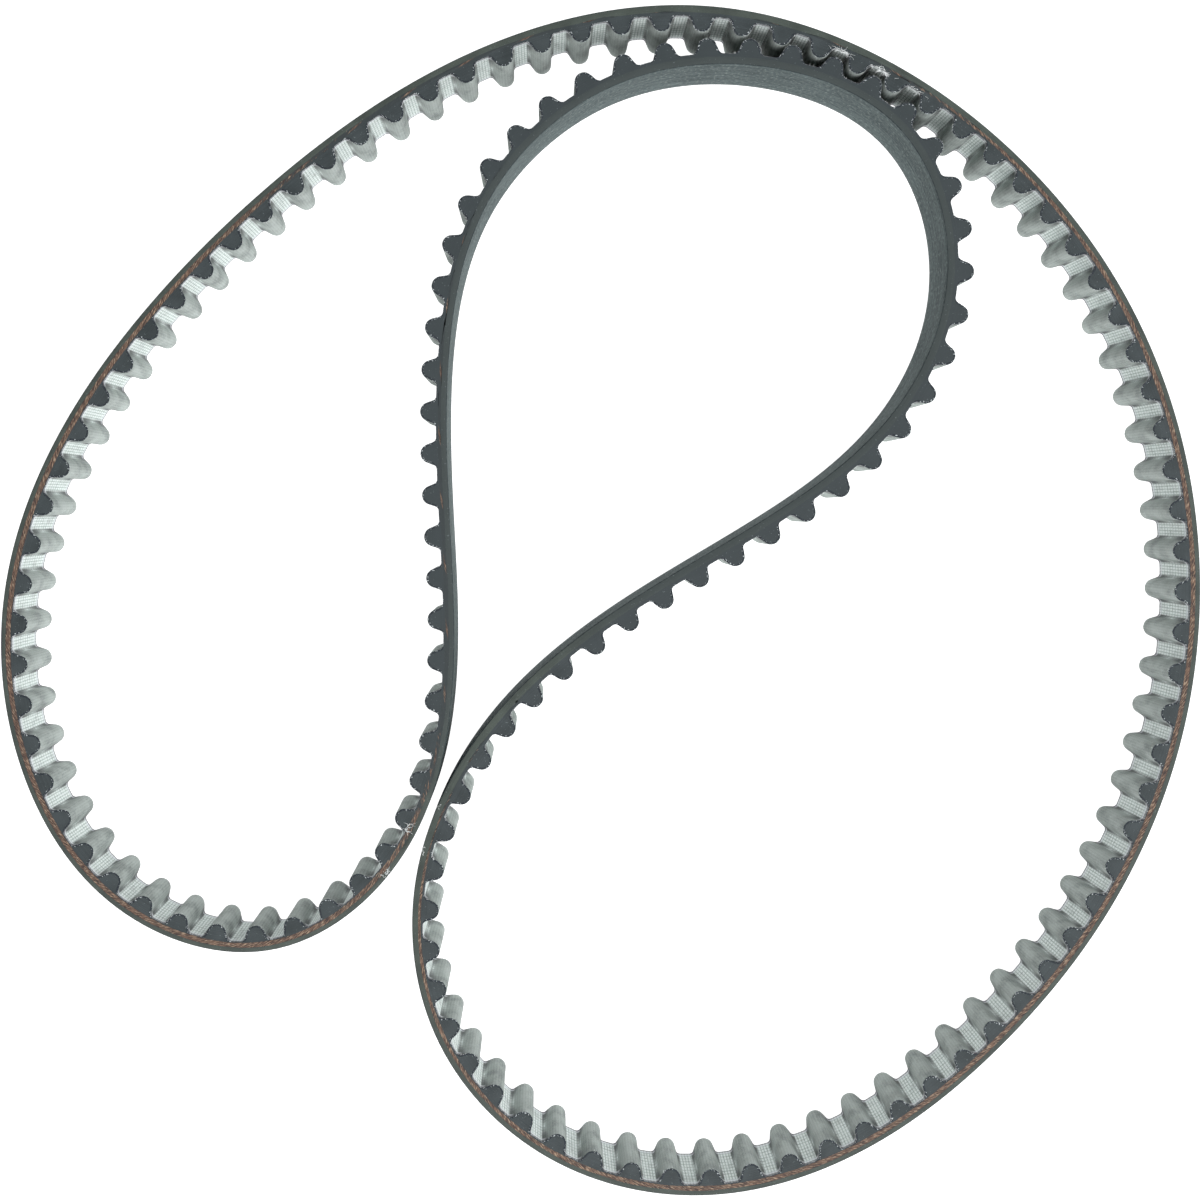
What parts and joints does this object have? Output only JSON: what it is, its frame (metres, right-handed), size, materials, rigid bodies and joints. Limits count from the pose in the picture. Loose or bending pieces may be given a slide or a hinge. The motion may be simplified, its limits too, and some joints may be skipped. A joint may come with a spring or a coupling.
{
  "type": "timing belt",
  "caption": "Endless round-tooth timing belt of rubber, cord and woven facing, standing on its edge and folded in on itself.",
  "frame": {"origin": "under the middle of the folded loop, at the height of the edge that the belt stands on", "axes": "+Z across the belt's width, from the edge it stands on to the upper edge; +X along the longer side of the folded loop; +Y from the neck of the fold towards the closed end of the lobe"},
  "size_m": [0.231, 0.2294, 0.0254],
  "materials": {
    "back_rubber": "matt, fine ground surface with lengthwise marks",
    "tension_cords": "brown dipped glass-fibre cord, twisted",
    "tooth_rubber": "matt cut rubber",
    "tooth_fabric": "pale woven nylon facing"
  },
  "bodies": {
    "root": {"back_rubber": "back_rubber", "tension_cords": "tension_cords", "tooth_rubber": "tooth_rubber", "tooth_fabric": "tooth_fabric"}
  },
  "joints": []
}
